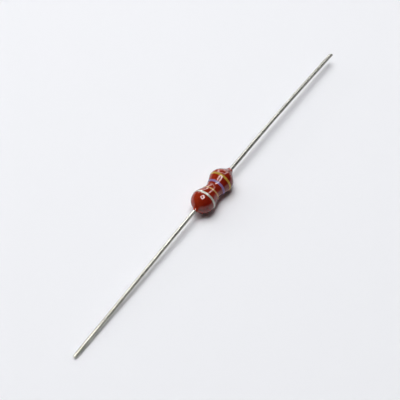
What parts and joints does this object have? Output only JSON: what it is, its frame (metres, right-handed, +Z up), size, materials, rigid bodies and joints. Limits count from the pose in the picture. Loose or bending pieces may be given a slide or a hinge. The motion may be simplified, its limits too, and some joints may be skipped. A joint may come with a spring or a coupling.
{
  "type": "axial inductor",
  "caption": "Small axial-lead inductor: a waisted, glossy red-brown coated body with painted colour bands and a straight tinned wire lead from each end, lying on its side.",
  "frame": {"origin": "on the surface that the part lies on, straight below the middle of its body: the centre of the bounding box's base", "axes": "+X along the winding axis towards the right lead, the end with the violet and yellow bands; -X towards the left lead, the end with the silver and gold bands; +Z up, away from the surface it lies on; +Y completes the right-handed set"},
  "size_m": [0.0682, 0.0038, 0.0038],
  "materials": {
    "coating": "dipped epoxy, glossy red-brown, slightly clear",
    "leads": "tinned copper wire, drawn and hot-dipped, satin",
    "silver_paint": "silver band paint, satin",
    "gold_paint": "gold band paint, satin",
    "violet_paint": "violet band paint",
    "yellow_paint": "yellow band paint, thin over the dark coating",
    "ferrite": null,
    "magnet_wire": "copper wire under clear enamel",
    "solder": "tin solder",
    "glue": "cured epoxy glue"
  },
  "bodies": {
    "root": {"drum_core": "ferrite", "winding": "magnet_wire", "left_lead": "leads", "right_lead": "leads", "left_adhesive": "glue", "right_adhesive": "glue", "left_solder_joint": "solder", "right_solder_joint": "solder", "epoxy_coating": "coating", "silver_band": "silver_paint", "gold_band": "gold_paint", "violet_band": "violet_paint", "yellow_band": "yellow_paint"}
  },
  "joints": []
}
